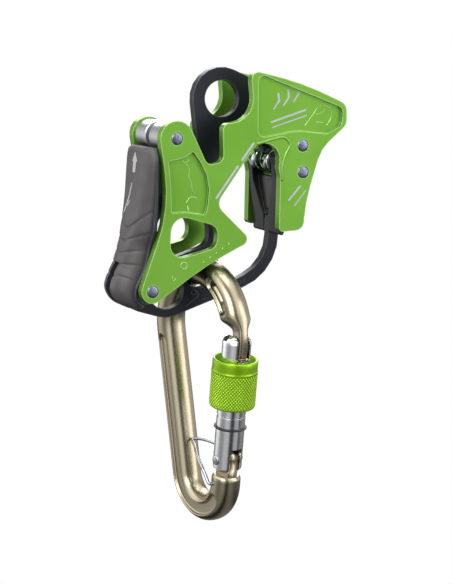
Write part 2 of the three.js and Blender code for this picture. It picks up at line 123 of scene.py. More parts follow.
# ---- materials ----
class Surface:
    """A principled material with node-made colour change, roughness change, grain and painted highlights on
    its edges.
    """

    def __init__(self, name, metallic, roughness):
        self.material = bpy.data.materials.new(name)
        self.material.use_nodes = True
        self.tree = self.material.node_tree
        self.shader = self.tree.nodes["Principled BSDF"]
        self.shader.inputs["Metallic"].default_value = metallic
        self.shader.inputs["Roughness"].default_value = roughness
        self.coords = self.node("ShaderNodeTexCoord").outputs["Object"]

    def node(self, kind, **settings):
        made = self.tree.nodes.new(kind)
        for key, value in settings.items():
            setattr(made, key, value)
        return made

    def link(self, output, target):
        self.tree.links.new(output, target)

    def noise(self, scale, detail=3.0, stretch=(1, 1, 1)):
        mapping = self.node("ShaderNodeMapping")
        mapping.inputs["Scale"].default_value = stretch
        self.link(self.coords, mapping.inputs["Vector"])
        noise = self.node("ShaderNodeTexNoise")
        noise.inputs["Scale"].default_value = scale
        noise.inputs["Detail"].default_value = detail
        self.link(mapping.outputs["Vector"], noise.inputs["Vector"])
        return noise.outputs["Fac"]

    def ramp(self, value, stops):
        ramp = self.node("ShaderNodeValToRGB")
        elements = ramp.color_ramp.elements
        while len(elements) < len(stops):
            elements.new(0.5)
        for element, (position, color) in zip(elements, stops):
            element.position = position
            element.color = (*color, 1)
        self.link(value, ramp.inputs["Fac"])
        return ramp.outputs["Color"]

    def mix(self, factor, first, second):
        mix = self.node("ShaderNodeMix", data_type="RGBA")
        sockets = {"first": mix.inputs[6], "second": mix.inputs[7]}
        self.link(factor, mix.inputs[0])
        for key, value in (("first", first), ("second", second)):
            if isinstance(value, tuple):
                sockets[key].default_value = (*value, 1)
            else:
                self.link(value, sockets[key])
        return mix.outputs[2]

    def edges(self, radius):
        """Painted highlight: white on edges, where the rounded normal leans away from the surface's own."""
        geometry = self.node("ShaderNodeNewGeometry")
        rounded = self.node("ShaderNodeBevel", samples=4)
        rounded.inputs["Radius"].default_value = radius * MM
        agree = self.node("ShaderNodeVectorMath", operation="DOT_PRODUCT")
        self.link(rounded.outputs["Normal"], agree.inputs[0])
        self.link(geometry.outputs["Normal"], agree.inputs[1])
        spread = self.node("ShaderNodeMapRange")
        spread.inputs["From Min"].default_value = 0.985
        spread.inputs["From Max"].default_value = 0.80
        self.link(agree.outputs["Value"], spread.inputs["Value"])
        return spread.outputs["Result"]

    def color(self, value):
        self.link(value, self.shader.inputs["Base Color"])
        return self

    def vary_roughness(self, source, low, high):
        spread = self.node("ShaderNodeMapRange")
        spread.inputs["To Min"].default_value = low
        spread.inputs["To Max"].default_value = high
        self.link(source, spread.inputs["Value"])
        self.link(spread.outputs["Result"], self.shader.inputs["Roughness"])
        return self

    def bump(self, height, strength, distance):
        bump = self.node("ShaderNodeBump")
        bump.inputs["Strength"].default_value = strength
        bump.inputs["Distance"].default_value = distance * MM
        self.link(height, bump.inputs["Height"])
        self.link(bump.outputs["Normal"], self.shader.inputs["Normal"])
        return self


def anodised(name, dark, light, edge, metallic, rough, grain=0.006):
    """Satin anodised aluminium: cloudy dye, fine grain and a painted highlight in a paler colour on the
    edges.
    """
    surface = Surface(name, metallic, rough)
    dye = surface.ramp(surface.noise(40, 2), [(0.3, dark), (0.7, light)])
    # painted highlight: the edge colour is mixed in along the rounded edges
    surface.color(surface.mix(surface.edges(0.8), dye, edge))
    surface.vary_roughness(surface.noise(500, 2), rough - 0.03, rough + 0.05)
    surface.bump(surface.noise(3500, 2), 0.3, grain)
    return surface.material


# the colours are the dark and light dye, then the painted edge highlight
def plate_green():
    return anodised(
        "green_anodised", (0.145, 0.355, 0.03), (0.175, 0.405, 0.042),
        (0.56, 0.82, 0.36), 0.65, 0.30,
    )


def plate_dark():
    return anodised(
        "dark_anodised", (0.013, 0.014, 0.02), (0.022, 0.024, 0.033),
        (0.14, 0.14, 0.16), 0.6, 0.38,
    )


def bronze():
    return anodised(
        "bronze_anodised", (0.34, 0.30, 0.21), (0.38, 0.335, 0.24),
        (0.54, 0.48, 0.36), 1.0, 0.25, 0.002,
    )


def lime():
    return anodised("lime_anodised", (0.225, 0.44, 0.004), (0.27, 0.50, 0.008), (0.46, 0.74, 0.06), 0.6, 0.34)


def turned_metal(name, dark, light, rough, stretch, streak=0.05):
    """Bright metal with streaks left by turning or brushing, drawn out along the short stretch."""
    surface = Surface(name, 1.0, rough)
    streaks = surface.noise(900, 3, stretch)
    surface.color(surface.ramp(streaks, [(0.3, dark), (0.7, light)]))
    surface.vary_roughness(streaks, rough - 0.04, rough + 0.10)
    surface.bump(streaks, 0.3, streak)
    return surface.material


def roller_steel():
    return turned_metal(
        "brushed_steel", (0.56, 0.57, 0.58), (0.70, 0.71, 0.72),
        0.28, (0.15, 2.5, 0.15), 0.01,
    )


def rivet_steel():
    return turned_metal("rivet_steel", (0.14, 0.165, 0.23), (0.27, 0.30, 0.38), 0.36, (1, 1, 1), 0.03)


def barrel_metal():
    return turned_metal(
        "polished_aluminium", (0.86, 0.87, 0.89), (0.93, 0.94, 0.96),
        0.15, (0.3, 0.3, 1.5), 0.003,
    )


def chrome():
    return turned_metal("polished_chrome", (0.55, 0.58, 0.60), (0.74, 0.77, 0.79), 0.07, (0.4, 2, 0.4), 0.01)


def spring_wire():
    return turned_metal("spring_steel", (0.34, 0.35, 0.37), (0.44, 0.45, 0.47), 0.2, (1, 1, 1), 0.004)


def moulded(name, dark, light, rough, grain, edge=None):
    """Moulded plastic with a fine spark texture, slight cloudiness and, when an edge colour is given, a
    painted highlight on its edges.
    """
    surface = Surface(name, 0.0, rough)
    body = surface.ramp(surface.noise(160, 4), [(0.3, dark), (0.7, light)])
    # painted highlight: the edge colour is mixed in along the rounded edges
    if edge:
        body = surface.mix(surface.edges(0.3), body, edge)
    surface.color(body)
    surface.vary_roughness(surface.noise(1200, 2), rough - 0.06, rough + 0.08)
    surface.bump(surface.noise(3200, 3), 0.5, grain)
    return surface.material


# the last colour given is the painted edge highlight
def grip_plastic():
    return moulded(
        "lever_grip_plastic", (0.052, 0.048, 0.048), (0.070, 0.065, 0.065),
        0.46, 0.06, (0.13, 0.12, 0.12),
    )


def core_plastic():
    return moulded(
        "lever_core_plastic", (0.020, 0.022, 0.030), (0.032, 0.035, 0.045),
        0.38, 0.03, (0.10, 0.11, 0.13),
    )


def gate_plastic():
    return moulded(
        "gate_plastic", (0.006, 0.006, 0.006), (0.014, 0.014, 0.014),
        0.36, 0.02, (0.05, 0.05, 0.05),
    )


def print_ink():
    return moulded("printed_ink", (0.40, 0.41, 0.48), (0.48, 0.49, 0.56), 0.55, 0.02)


def grip_ink():
    return moulded("grip_ink", (0.36, 0.36, 0.37), (0.45, 0.45, 0.46), 0.55, 0.02)


def warning_red():
    return moulded("warning_red", (0.30, 0.02, 0.015), (0.40, 0.03, 0.02), 0.45, 0.02)


GREEN, DARK, BRONZE, LIME = plate_green(), plate_dark(), bronze(), lime()
ROLLER, RIVET, BARREL, CHROME, SPRING = roller_steel(), rivet_steel(), barrel_metal(), chrome(), spring_wire()
GRIP, CORE, GATE = grip_plastic(), core_plastic(), gate_plastic()
INK, GRIP_INK, RED = print_ink(), grip_ink(), warning_red()


# ---- mesh helpers ----
def dress(obj, material):
    obj.data.materials.clear()
    obj.data.materials.append(material)
    for polygon in obj.data.polygons:
        polygon.use_smooth = True


def bevelled(obj, width, segments=3, angle=32):
    bevel = obj.modifiers.new("edge", "BEVEL")
    bevel.width = width * MM
    bevel.segments = segments
    bevel.limit_method = "ANGLE"
    bevel.angle_limit = math.radians(angle)
    bevel.harden_normals = True
    obj.modifiers.new("normals", "WEIGHTED_NORMAL").keep_sharp = True


def raw_object(name, vertices, faces, matrix):
    """A closed mesh in the CAD's frame: doubles merged and faces turned out."""
    mesh = bpy.data.meshes.new(name)
    mesh.from_pydata([tuple(matrix @ Vector(v)) for v in vertices], [], faces)
    work = bmesh.new()
    work.from_mesh(mesh)
    bmesh.ops.remove_doubles(work, verts=work.verts, dist=1e-6)
    bmesh.ops.dissolve_degenerate(work, edges=work.edges, dist=1e-7)
    bmesh.ops.recalc_face_normals(work, faces=work.faces)
    work.to_mesh(mesh)
    work.free()
    obj = bpy.data.objects.new(name, mesh)
    bpy.context.scene.collection.objects.link(obj)
    return obj


def settle(obj, material, slot, body, *stands_for):
    dress(obj, material)
    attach(obj, body)
    if stands_for:
        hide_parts(*stands_for)
    return obj


def join_rings(rings, loop=False, caps=True):
    """Vertices and faces of a skin over closed rings of points. A loop joins the last ring to the first."""
    size = len(rings[0])
    vertices = [point for ring in rings for point in ring]
    faces = []
    spans = len(rings) if loop else len(rings) - 1
    for r in range(spans):
        low, high = r * size, ((r + 1) % len(rings)) * size
        for k in range(size):
            after = (k + 1) % size
            faces.append((low + k, low + after, high + after, high + k))
    if caps and not loop:
        faces.append(tuple(reversed(range(size))))
        last = (len(rings) - 1) * size
        faces.append(tuple(range(last, last + size)))
    return vertices, faces


def revolve(profile, segments=64, axis="z", loop=False):
    """Rings of a turned shape. The profile is (radius, height) along the axis."""
    rings = []
    for radius, height in profile:
        ring = []
        for k in range(segments):
            angle = 2 * math.pi * k / segments
            a, b = radius * math.cos(angle), radius * math.sin(angle)
            ring.append((a, b, height) if axis == "z" else (a, height, b))
        rings.append(ring)
    return join_rings(rings, loop=loop, caps=False)


def moved(vertices, x, y, z):
    return [(v[0] + x, v[1] + y, v[2] + z) for v in vertices]


def sweep(points, radius, sides=10, closed=False):
    """A round bar along a chain of points, with its section carried along without twist."""
    points = [Vector(p) for p in points]
    count = len(points)
    rings = []
    side = None
    for i, point in enumerate(points):
        before = points[i - 1] if i or closed else point
        after = points[(i + 1) % count] if i < count - 1 or closed else point
        tangent = (after - before).normalized()
        start = side or tangent.orthogonal()
        side = (start - tangent * start.dot(tangent)).normalized()
        other = tangent.cross(side)
        ring = []
        for k in range(sides):
            angle = 2 * math.pi * k / sides
            ring.append(tuple(point + side * radius * math.cos(angle) + other * radius * math.sin(angle)))
        rings.append(ring)
    return join_rings(rings, loop=closed)


def blend(low, high, start, end, t):
    return low + (high - low) * (t - start) / (end - start)


def curve_through(points, per_span=10):
    """Centripetal Catmull-Rom points through a chain of control points."""
    chain = [Vector(p) for p in points]
    chain = [2 * chain[0] - chain[1], *chain, 2 * chain[-1] - chain[-2]]
    out = []
    for i in range(1, len(chain) - 2):
        a, b, c, d = chain[i - 1:i + 3]
        knots = [0.0]
        for near, far in ((a, b), (b, c), (c, d)):
            knots.append(knots[-1] + math.sqrt(max((far - near).length, 1e-6)))
        k0, k1, k2, k3 = knots
        for k in range(per_span):
            t = k1 + (k2 - k1) * k / per_span
            ab, bc, cd = blend(a, b, k0, k1, t), blend(b, c, k1, k2, t), blend(c, d, k2, k3, t)
            out.append(blend(blend(ab, bc, k0, k2, t), blend(bc, cd, k1, k3, t), k1, k2, t))
    out.append(chain[-2])
    return out


def combine(parts):
    vertices, faces = [], []
    for part_vertices, part_faces in parts:
        base = len(vertices)
        vertices += part_vertices
        faces += [tuple(base + i for i in face) for face in part_faces]
    return vertices, faces


def prism(outline, y_front, y_back):
    """A flat outline of (x, z) points made thick along Y."""
    front = [(x, y_front, z) for x, z in outline]
    back = [(x, y_back, z) for x, z in outline]
    return join_rings([front, back])


def bar_outline(start, end, width):
    """The outline of a flat bar with round ends."""
    (x0, z0), (x1, z1) = start, end
    heading = math.atan2(z1 - z0, x1 - x0)
    points = []
    for (x, z), base in (((x1, z1), heading - math.pi / 2), ((x0, z0), heading + math.pi / 2)):
        for k in range(9):
            angle = base + math.pi * k / 8
            points.append((x + width / 2 * math.cos(angle), z + width / 2 * math.sin(angle)))
    return points


def applied(obj, tool, operation):
    """Cuts or joins with a helper mesh, applied at once, and removes the helper."""
    step = obj.modifiers.new("step", "BOOLEAN")
    step.operation = operation
    step.solver = "EXACT"
    step.object = tool
    bpy.context.view_layer.update()
    graph = bpy.context.evaluated_depsgraph_get()
    mesh = bpy.data.meshes.new_from_object(obj.evaluated_get(graph))
    obj.modifiers.clear()
    obj.data = mesh
    bpy.data.objects.remove(tool)
    return obj


def block(x0, x1, y0, y1, z0, z1):
    return join_rings([
        [(x0, y0, z0), (x1, y0, z0), (x1, y1, z0), (x0, y1, z0)],
        [(x0, y0, z1), (x1, y0, z1), (x1, y1, z1), (x0, y1, z1)],
    ])


# ---- CAD nodes that stay: edges rounded, new materials ----
def keep(node, material, width, segments=3, merge_flats=True):
    obj = nodes[node]
    dress(obj, material)
    obj.modifiers.new("weld", "WELD").merge_threshold = 2e-6
    if merge_flats:
        flats = obj.modifiers.new("flats", "DECIMATE")
        flats.decimate_type = "DISSOLVE"
        flats.angle_limit = math.radians(1)
    bevelled(obj, width, segments)


def kept_nodes():
    for node in ("front_side_plate", "rear_side_plate"):
        keep(node, GREEN, 0.95, 4)
    keep("centre_plate", DARK, 0.45)
    keep("release_lever_core", CORE, 0.5)
    keep("retaining_gate", GATE, 0.4)
    for node in ("upper_spacer_front", "upper_spacer_rear", "lower_spacer_front", "lower_spacer_rear"):
        keep(node, ROLLER, 0.2, 2)
    keep("gate_hinge_pin", SPRING, 0.15, 2)
    keep("gate_plunger", SPRING, 0.2, 2)
    for node in ("lever_return_spring", "gate_spring"):
        keep(node, SPRING, 0.05, 1, False)


# ---- rivets, rollers and bushes ----
def rivet(node):
    x, z = datum_point(node)
    end = SIDE_OUTER + RIVET_CROWN
    half = [(RIVET_RADIUS, SIDE_OUTER - 0.1), (RIVET_RADIUS - 0.12, SIDE_OUTER + 0.12)]
    for k in range(1, 6):
        share = 1 - k / 5
        half.append(((RIVET_RADIUS - 0.3) * share, end - 0.3 * share * share))
    profile = [(r, -y) for r, y in reversed(half)] + half
    vertices, faces = revolve(profile, 48, "y")
    obj = raw_object(node + "_turned", moved(vertices, x, 0, z), faces, datum)
    settle(obj, RIVET, "rivet_steel", "body", node)


def roller(node, side):
    x, z = datum_point(node)
    near, far = CENTRE_HALF + 0.1, SIDE_INNER - 0.1
    chamfer = 0.45
    outer = ROLLER_RADIUS
    profile = [
        (RIVET_RADIUS + 0.15, near), (outer - chamfer, near), (outer - 0.1, near + chamfer - 0.1),
        (outer, near + chamfer + 0.15), (outer, far - chamfer - 0.15), (outer - 0.1, far - chamfer + 0.1),
        (outer - chamfer, far), (RIVET_RADIUS + 0.15, far),
    ]
    vertices, faces = revolve([(r, side * y) for r, y in profile], 72, "y", loop=True)
    obj = raw_object(node + "_turned", moved(vertices, x, 0, z), faces, datum)
    bevelled(obj, 0.08, 2, 25)
    settle(obj, ROLLER, "brushed_steel", "body", node)


def bush(node, side):
    """A bell: round waist with a flared lip at each end."""
    x, z = datum_point(node)
    bore, lip, near, far = 1.7, 5.0, 2.45, 9.15
    waist_start, waist_length, waist_depth = 3.0, 5.7, 0.75
    profile = [(bore, near), (lip - 0.3, near), (lip, near + 0.25)]
    for k in range(9):
        share = k / 8
        hollow = waist_depth * math.sin(math.pi * share) ** 0.8
        profile.append((lip - 0.05 - hollow, waist_start + waist_length * share))
    profile += [(lip, far - 0.2), (lip - 0.3, far), (bore, far)]
    vertices, faces = revolve([(r, side * y) for r, y in profile], 64, "y", loop=True)
    obj = raw_object(node + "_bell", moved(vertices, x, 0, z), faces, datum)
    bevelled(obj, 0.08, 2, 30)
    settle(obj, CHROME, "polished_chrome", "body", node)


# ---- release lever grip ----
LEVER_EDGE = [
    (2.4, 59.2), (1.7, 47), (1.3, 36), (0.1, 22.5), (-3.2, 8.6), (-6.7, 1), (-6.9, -4.2), (-3.6, -8.2),
]
GRIP_HALF = 16.0
GRIP_FOOT_HALF = 13.5
GRIP_SIDE = 0.7
GRIP_DEPTH = 1.2
RIM_DEPTH = 2.3
TOP_ROUND, TOP_INSET = 7.0, 5.0
END_SOFTENING, EDGE_LIP = 0.9, 0.54
RIM_REVEAL, FOOT_REVEAL = 0.5, 1.9
GRIP_SLOT_HALF, GRIP_SLOT_TOP = 2.4, 11.0
# each groove: height where it crosses the middle, how far it climbs to the sides, and its depth
GRIP_GROOVES = [(24.5, 8.5, 0.55), (18.6, 5.0, 0.5), (13.2, 3.4, 0.45), (8.0, 2.2, 0.4), (2.9, 1.2, 0.35)]


def groove_depth(height, side):
    """How far the grip's grooves cut in at a height and a place across from -1 to 1."""
    depth = 0.0
    for middle, climb, cut in GRIP_GROOVES:
        gap = height - middle - climb * abs(side) ** 1.7
        depth += cut * math.exp(-((gap / 0.42) ** 2))
        if -3.2 < gap <= 0:
            depth += 0.35 * cut * (1 + gap / 3.2)
    return depth


def grip_crown(height, side):
    """How far the grip bulges: more towards its foot, and less again at its end."""
    growing = 2.6 + 3.9 * smoothstep(0, 48, 56 - height)
    return growing * (1 - 0.75 * smoothstep(0, 8.2, -height)) * (1 - side ** 4)


def grip_rings(rim):
    """The lever's outer face. The rim is its full width, and the grip on it is narrower at the foot."""
    edge = curve_through([(x, 0, z) for x, z in LEVER_EDGE], 26)
    inner = RIM_DEPTH if rim else GRIP_DEPTH
    rings = []
    total = sum((b - a).length for a, b in zip(edge, edge[1:]))
    travelled = 0.0
    columns = 48
    for i, point in enumerate(edge):
        ahead, behind = edge[min(i + 1, len(edge) - 1)], edge[max(i - 1, 0)]
        tangent = (ahead - behind).normalized()
        away = Vector((tangent.z, 0, -tangent.x))
        travelled += (point - behind).length if i else 0.0
        corner = min(1.0, (travelled + 0.35) / TOP_ROUND)
        rounding = TOP_INSET * (1 - math.sqrt(max(0.0, 1 - (1 - corner) ** 2)))
        foot = (GRIP_HALF - GRIP_FOOT_HALF) * smoothstep(0, 9, 26 - point.z)
        reveal = 0 if rim else RIM_REVEAL + FOOT_REVEAL * smoothstep(0, 34, 52 - point.z)
        half = GRIP_HALF - rounding - foot - reveal
        end = min(travelled, total - travelled)
        soften = END_SOFTENING * (1 - smoothstep(0, 1.6, end))
        ring = []
        for k in range(columns + 1):
            side = -1 + 2 * k / columns
            lip = EDGE_LIP * (1 - smoothstep(0, 0.10, 1 - abs(side)))
            rise = -GRIP_SIDE
            if not rim:
                rise = grip_crown(point.z, side) - groove_depth(point.z, side) - soften - lip
            ring.append(tuple(point + away * rise + Vector((0, side * half, 0))))
        for k in range(columns, -1, -1):
            side = -1 + 2 * k / columns
            ring.append(tuple(point - away * inner + Vector((0, side * half, 0))))
        rings.append(ring)
    return rings


def lever_grip():
    grip = raw_object("lever_grip_moulding", *join_rings(grip_rings(rim=False)), datum)
    rim = raw_object("lever_core_rim", *join_rings(grip_rings(rim=True)), datum)
    for obj in (grip, rim):
        slot = block(-20, 20, -GRIP_SLOT_HALF, GRIP_SLOT_HALF, -20, GRIP_SLOT_TOP)
        applied(obj, raw_object("slot_tool", *slot, datum), "DIFFERENCE")
    settle(grip, GRIP, "lever_grip_plastic", "lever", "release_lever_grip")
    # painted shade: the slot's walls take the dark core colour, standing in for the shade deep in the narrow
    # slot
    grip.data.materials.append(CORE)
    for polygon in grip.data.polygons:
        place = datum.inverted() @ polygon.center
        if abs(place.y) < GRIP_SLOT_HALF + 0.05 and place.z < GRIP_SLOT_TOP + 0.05:
            polygon.material_index = 1
            polygon.use_smooth = False
    settle(rim, CORE, "lever_core_plastic", "lever")


def grip_surface(height, y, lift):
    """A point on the grip's crowned face."""
    edge = curve_through([(x, 0, z) for x, z in LEVER_EDGE], 26)
    near = min(edge, key=lambda p: abs(p.z - height))
    side = y / GRIP_HALF
    return Vector((near.x - grip_crown(height, side) - lift, y, height))


def grip_mark(name, outline):
    """A thin printed shape laid on the grip. The outline is (y, z)."""
    outer = [tuple(grip_surface(z, y, 0.05)) for y, z in outline]
    inner = [tuple(grip_surface(z, y, -0.25)) for y, z in outline]
    obj = raw_object(name, *join_rings([outer, inner]), datum)
    settle(obj, GRIP_INK, "lever_grip_plastic", "lever")
    for polygon in obj.data.polygons:
        polygon.use_smooth = False


def grip_marks():
    arrow = [(0.2, 57.0), (-2.8, 52.9), (-1.4, 52.9), (-1.4, 48.4), (1.6, 48.4), (1.6, 52.9), (3.0, 52.9)]
    grip_mark("lever_arrow_mark", arrow)
    # a generic rope-end mark: one slanted bar with a short fork
    grip_mark("lever_rope_mark_a", bar_outline((5.6, 31.4), (2.4, 38.0), 0.9))
    grip_mark("lever_rope_mark_b", bar_outline((2.4, 38.0), (1.2, 43.4), 0.9))
    grip_mark("lever_rope_mark_c", bar_outline((1.4, 36.2), (2.6, 34.4), 0.7))


# ---- marks on the plates: plain bars and raised line drawings ----
def printed_bars():
    outlines = [
        (bar_outline((28.9, 38.0), (38.6, 50.8), 0.9), SIDE_OUTER),
        (bar_outline((40.6, 53.4), (45.8, 60.2), 0.9), SIDE_OUTER),
        (bar_outline((62.6, 35.6), (67.8, 41.2), 0.8), SIDE_OUTER),
        (bar_outline((65.2, 33.0), (70.6, 39.4), 0.45), SIDE_OUTER),
        (bar_outline((55.0, 68.8), (71.0, 73.6), 0.8), POCKET_FLOOR),
        (bar_outline((55.6, 66.6), (71.4, 71.2), 0.45), POCKET_FLOOR),
    ]
    for step in range(3):
        start = 55.5 + 4.6 * step
        rise = 0.30 * (start - 54.5)
        peak = [
            (start, 73.8 + rise), (start + 0.9, 74.0 + rise), (start + 3.5, 77.4 + rise),
            (start + 3.0, 80.8 + rise), (start + 2.1, 80.6 + rise), (start + 2.5, 77.5 + rise),
        ]
        outlines.append((peak, POCKET_FLOOR))
    for name, side in (("front_plate_print", -1), ("rear_plate_print", 1)):
        parts = []
        for outline, level in outlines:
            parts.append(prism(outline, side * (level - 0.2), side * (level + 0.03)))
        obj = raw_object(name, *combine(parts), datum)
        settle(obj, INK, "green_anodised", "body")
        for polygon in obj.data.polygons:
            polygon.use_smooth = False


def ring_points(x, z, radius, count=14):
    return [
        (x + radius * math.cos(2 * math.pi * k / count), z + radius * math.sin(2 * math.pi * k / count))
        for k in range(count)
    ]


def raised_lines(name, lines, level, radius, material, slot, sides=(-1, 1)):
    """Line drawings that stand half proud of a plate face. Each line is (points, closed)."""
    for side in sides:
        parts = []
        for points, closed in lines:
            chain = [(x, side * level, z) for x, z in points]
            parts.append(sweep(chain, radius, 8, closed))
        label = name if len(sides) == 1 else f"{name}_{'front' if side < 0 else 'rear'}"
        obj = raw_object(label, *combine(parts), datum)
        settle(obj, material, slot, "body")


def smooth_line(points, per_span=6):
    return [(p.x, p.z) for p in curve_through([(x, 0, z) for x, z in points], per_span)]


def plate_reliefs():
    clip = smooth_line([
        (70.2, 66.2), (74.4, 71.4), (77.6, 75.2), (80.6, 75.0), (83.2, 72.2), (82.8, 69.2), (80.9, 66.4),
    ])
    latch = smooth_line([(75.7, 71.5), (78.0, 71.9), (80.8, 73.9)])
    raised_lines("handle_relief", [(clip, False), (latch, False), ([(75.9, 68.2), (80.8, 67.9)], False)],
                 POCKET_FLOOR - 0.05, 0.22, GREEN, "green_anodised")
    rope = smooth_line([(16.0, 52.4), (17.2, 50.2), (17.0, 47.4), (18.1, 44.6), (18.4, 42.0), (19.6, 39.8)])
    lines = [
        (rope, False),
        (ring_points(15.4, 54.4, 1.5), True),
        (smooth_line([(15.6, 36.0), (17.8, 38.6), (20.6, 38.0)]), False),
        ([(16.4, 35.2), (17.2, 30.6)], False),
    ]
    raised_lines("limb_relief", lines, POCKET_FLOOR - 0.05, 0.24, GREEN, "green_anodised")
    edge_marks = [(ring_points(14.0, 10.2, 1.45), True), (ring_points(9.3, 4.9, 1.0, 3), True)]
    for k in range(5):
        x, z = 22.6 + 2.9 * k, 10.6 + 1.75 * k
        edge_marks.append(([(x, z), (x + 0.5, z + 1.0)], False))
    raised_lines("lower_edge_relief", edge_marks, SIDE_OUTER - 0.03, 0.2, GREEN, "green_anodised")
    centre_marks = [
        (smooth_line([(24.0, 1.0), (24.6, -1.6), (27.4, -5.2), (24.6, -7.8), (21.6, -10.2)]), False),
        (ring_points(25.2, -4.2, 1.2), True),
        ([(29.8, -7.6), (30.6, -7.4)], False), ([(33.2, -6.6), (34.2, -6.2)], False),
        ([(46.9, -2.3), (47.6, -0.6)], False), ([(48.4, -1.6), (49.2, 0.1)], False),
    ]
    raised_lines("centre_relief", centre_marks, CENTRE_HALF - 0.04, 0.2, DARK, "dark_anodised")


def hinge_ridges():
    """The forged ridge that follows the hinge pocket and runs down the handle's inner edge."""
    outer = smooth_line([
        (47.4, 59.9), (50.8, 60.6), (54.9, 61.6), (60.1, 62.3), (62.1, 60.7), (62.9, 58.8), (60.8, 54.5),
        (59.2, 48.4), (59.3, 43.8),
    ])
    raised_lines("hinge_ridge", [(outer, False)], SIDE_OUTER - 0.30, 0.62, GREEN, "green_anodised")


# ---- carabiner ----
BAR_STEP = 0.6
CHANNEL_FROM, CHANNEL_TO, CHANNEL_DEPTH = 12.0, 105.5, 2.0
POCKET_FROM, POCKET_TO, POCKET_DEPTH = 167.5, 180.0, 1.7
RIB_HEIGHT = 1.1
BAR_SQUARENESS = 2.3
NOSE_HALF, NOSE_REACH, NOSE_SPREAD = 2.3, 3.4, 0.3
# distances before the bow's end over which the nose thins, on its front and on its back
NOSE_FROM, NOSE_TO = 12, 5.6
NOSE_BACK_FROM, NOSE_BACK_TO = 10.5, 5.2
END_TAPER, TIP_TAPER = 0.14, 0.12


def carabiner_path():
    """Stations along the bar's centre line: distance, point, outward direction."""
    stations = []
    leg = LEG_LENGTH - SHOULDER_STATION
    for share in (0, 0.04, 0.12, 0.3, 0.5, 0.75):
        stations.append((leg * share, gate_start + gate_down * (SHOULDER_STATION + leg * share), gate_out))
    travelled = leg

    def bend(centre_z, radius, start, span):
        length = abs(span) * radius
        steps = round(length / BAR_STEP)
        for k in range(steps):
            angle = start + span * k / steps
            away = Vector((math.cos(angle), 0, math.sin(angle)))
            stations.append((travelled + length * k / steps, away * radius + UP * centre_z, away))
        return travelled + length

    travelled = bend(-ARC_DISTANCE, BASKET_RADIUS, -LEAN, -(math.pi - 2 * LEAN))
    high = Vector((-gate_start.x, 0, gate_start.z))
    spine_out = Vector((-gate_out.x, 0, gate_out.z))
    spine_up = Vector((gate_down.x, 0, -gate_down.z))
    steps = round(LEG_LENGTH / BAR_STEP)
    for k in range(steps):
        gone = LEG_LENGTH * k / steps
        stations.append((travelled + gone, high - spine_up * (LEG_LENGTH - gone), spine_out))
    travelled += LEG_LENGTH
    travelled = bend(0, BOW_RADIUS, math.pi + LEAN, -(math.pi + 2 * LEAN))
    for k in range(8):
        beyond = VISIBLE_TONGUE_END * k / 7
        stations.append((travelled + beyond, gate_start + gate_down * beyond, gate_out))
    return stations, travelled


def capsule(along, offset, start, end, radius, edge):
    """1 inside a long slot with round ends, falling to 0 over the edge width."""
    nearest = min(max(along, start), end)
    distance = math.hypot(along - nearest, offset)
    return 1 - smoothstep(radius - edge, radius, distance)


def side_recess(along, offset):
    """How deep the side face is cut at a distance along the bar and an offset from its middle."""
    channel = CHANNEL_DEPTH * capsule(along, offset - 0.3, CHANNEL_FROM, CHANNEL_TO, 3.0, 0.8)
    pocket = POCKET_DEPTH * capsule(along, offset, POCKET_FROM, POCKET_TO, 2.7, 0.7)
    rib = RIB_HEIGHT * capsule(along, offset, POCKET_FROM + 2, POCKET_TO - 3, 0.95, 0.35)
    return channel + pocket - rib


def carabiner_ring(station, bow_end, sides=120):
    """The bar's section: a squared round, thinned to a flat tongue at the nose."""
    along, point, away = station
    nose = smoothstep(bow_end - NOSE_FROM, bow_end - NOSE_TO, along)
    nose_back = smoothstep(bow_end - NOSE_BACK_FROM, bow_end - NOSE_BACK_TO, along)
    end = smoothstep(0, 0.9, along)
    tip = smoothstep(VISIBLE_TONGUE_END - 1.8, VISIBLE_TONGUE_END, along - bow_end)
    size = (1 - END_TAPER * (1 - end)) * (1 - TIP_TAPER * tip)
    power = 2 / BAR_SQUARENESS
    ring = []
    for k in range(sides):
        angle = 2 * math.pi * k / sides
        cosine, sine = math.cos(angle), math.sin(angle)
        outward = BAR * math.copysign(abs(cosine) ** power, cosine)
        sideways = BAR * math.copysign(abs(sine) ** power, sine)
        sideways -= math.copysign(side_recess(along, outward) * abs(sine) ** 3, sine)
        flat_outward = NOSE_HALF + NOSE_REACH * math.copysign(abs(cosine) ** 0.7, cosine)
        flat_half = NOSE_HALF + NOSE_SPREAD * max(0, cosine)
        flat_sideways = flat_half * math.copysign(abs(sine) ** 0.6, sine)
        outward = (outward + (flat_outward - outward) * nose) * size
        sideways = (sideways + (flat_sideways - sideways) * (nose if sine < 0 else nose_back)) * size
        ring.append(tuple(point + away * outward + Vector((0, sideways, 0))))
    return ring


def tongue(thickness):
    """The flat tongue that carries the gate's pivot rivet, in the leg's frame."""
    half, root = 4.3, SHOULDER_STATION + 4
    outline = [(half, -root)]
    for k in range(25):
        angle = math.pi * k / 24
        outline.append((half * math.cos(angle), -PIVOT_STATION + half * math.sin(angle)))
    outline.append((-half, -root))
    return prism(outline, -thickness / 2, thickness / 2)


def carabiner_frame():
    stations, bow_end = carabiner_path()
    rings = [carabiner_ring(station, bow_end) for station in stations]
    obj = raw_object("carabiner_forging", *join_rings(rings), ring_frame)
    applied(obj, raw_object("tongue_tool", *tongue(5.0), leg_frame), "UNION")
    settle(obj, BRONZE, "bronze_anodised", "carabiner", "carabiner_frame")
    for polygon in obj.data.polygons:
        polygon.use_smooth = len(polygon.vertices) < 9


def nose_band():
    """The red warning line across the nose tongue, which the sleeve hides when it is screwed up."""
    vertices, faces = block(1.0, 5.75, -1.2, 1.2, -4.2, -3.5)
    obj = raw_object("nose_warning_band", vertices, faces, leg_frame)
    bevelled(obj, 0.1, 2)
    settle(obj, RED, "bronze_anodised", "carabiner")


